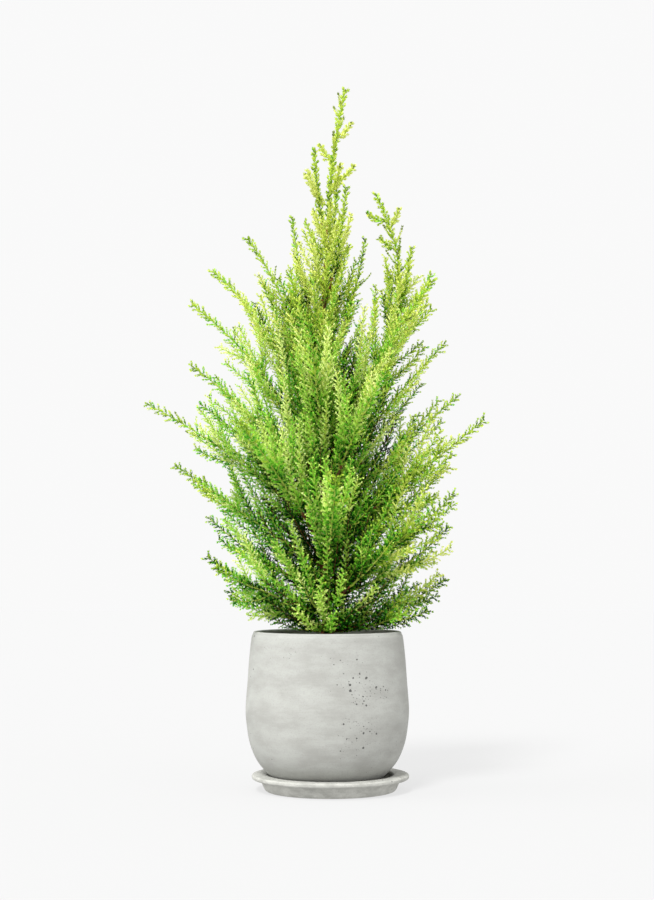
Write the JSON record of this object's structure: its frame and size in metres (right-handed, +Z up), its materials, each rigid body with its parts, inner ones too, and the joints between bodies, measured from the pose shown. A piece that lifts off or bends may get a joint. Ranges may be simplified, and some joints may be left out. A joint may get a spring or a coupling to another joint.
{
  "type": "potted cypress tree",
  "caption": "Young conical cypress with feathery foliage in a rounded concrete pot that stands in a shallow concrete saucer.",
  "frame": {"origin": "centre of the saucer's flat underside, on the surface that it stands on", "axes": "+Z up along the trunk, +X to the viewer's right, -Y towards the viewer"},
  "size_m": [0.418, 0.3417, 0.868],
  "materials": {
    "pot_concrete": "matte",
    "saucer_concrete": "matte",
    "compost": "matte",
    "bark": "matte",
    "foliage": "matte"
  },
  "bodies": {
    "root": {"bough_back_1": "bark", "bough_back_2": "bark", "bough_back_3": "bark", "bough_front_1": "bark", "bough_front_2": "bark", "bough_front_3": "bark", "bough_front_4": "bark", "bough_left_1": "bark", "bough_left_2": "bark", "bough_left_3": "bark", "bough_left_4": "bark", "bough_right_1": "bark", "bough_right_2": "bark", "bough_right_3": "bark", "bough_right_4": "bark", "bough_right_5": "bark", "compost": "compost", "foliage_back_1": "foliage", "foliage_back_2": "foliage", "foliage_back_3": "foliage", "foliage_back_4": "foliage", "foliage_back_5": "foliage", "foliage_back_6": "foliage", "foliage_back_7": "foliage", "foliage_crest_1": "foliage", "foliage_crest_2": "foliage", "foliage_crest_3": "foliage", "foliage_crest_4": "foliage", "foliage_crest_5": "foliage", "foliage_front_1": "foliage", "foliage_front_2": "foliage", "foliage_front_3": "foliage", "foliage_front_4": "foliage", "foliage_front_5": "foliage", "foliage_front_6": "foliage", "foliage_front_7": "foliage", "foliage_leader": "foliage", "foliage_left_1": "foliage", "foliage_left_10": "foliage", "foliage_left_2": "foliage", "foliage_left_3": "foliage", "foliage_left_4": "foliage", "foliage_left_5": "foliage", "foliage_left_6": "foliage", "foliage_left_7": "foliage", "foliage_left_8": "foliage", "foliage_left_9": "foliage", "foliage_right_1": "foliage", "foliage_right_2": "foliage", "foliage_right_3": "foliage", "foliage_right_4": "foliage", "foliage_right_5": "foliage", "foliage_right_6": "foliage", "foliage_right_7": "foliage", "foliage_right_8": "foliage", "foliage_right_9": "foliage", "foliage_second_leader": "foliage", "pot": "pot_concrete", "saucer": "saucer_concrete", "trunk": "bark"}
  },
  "joints": []
}
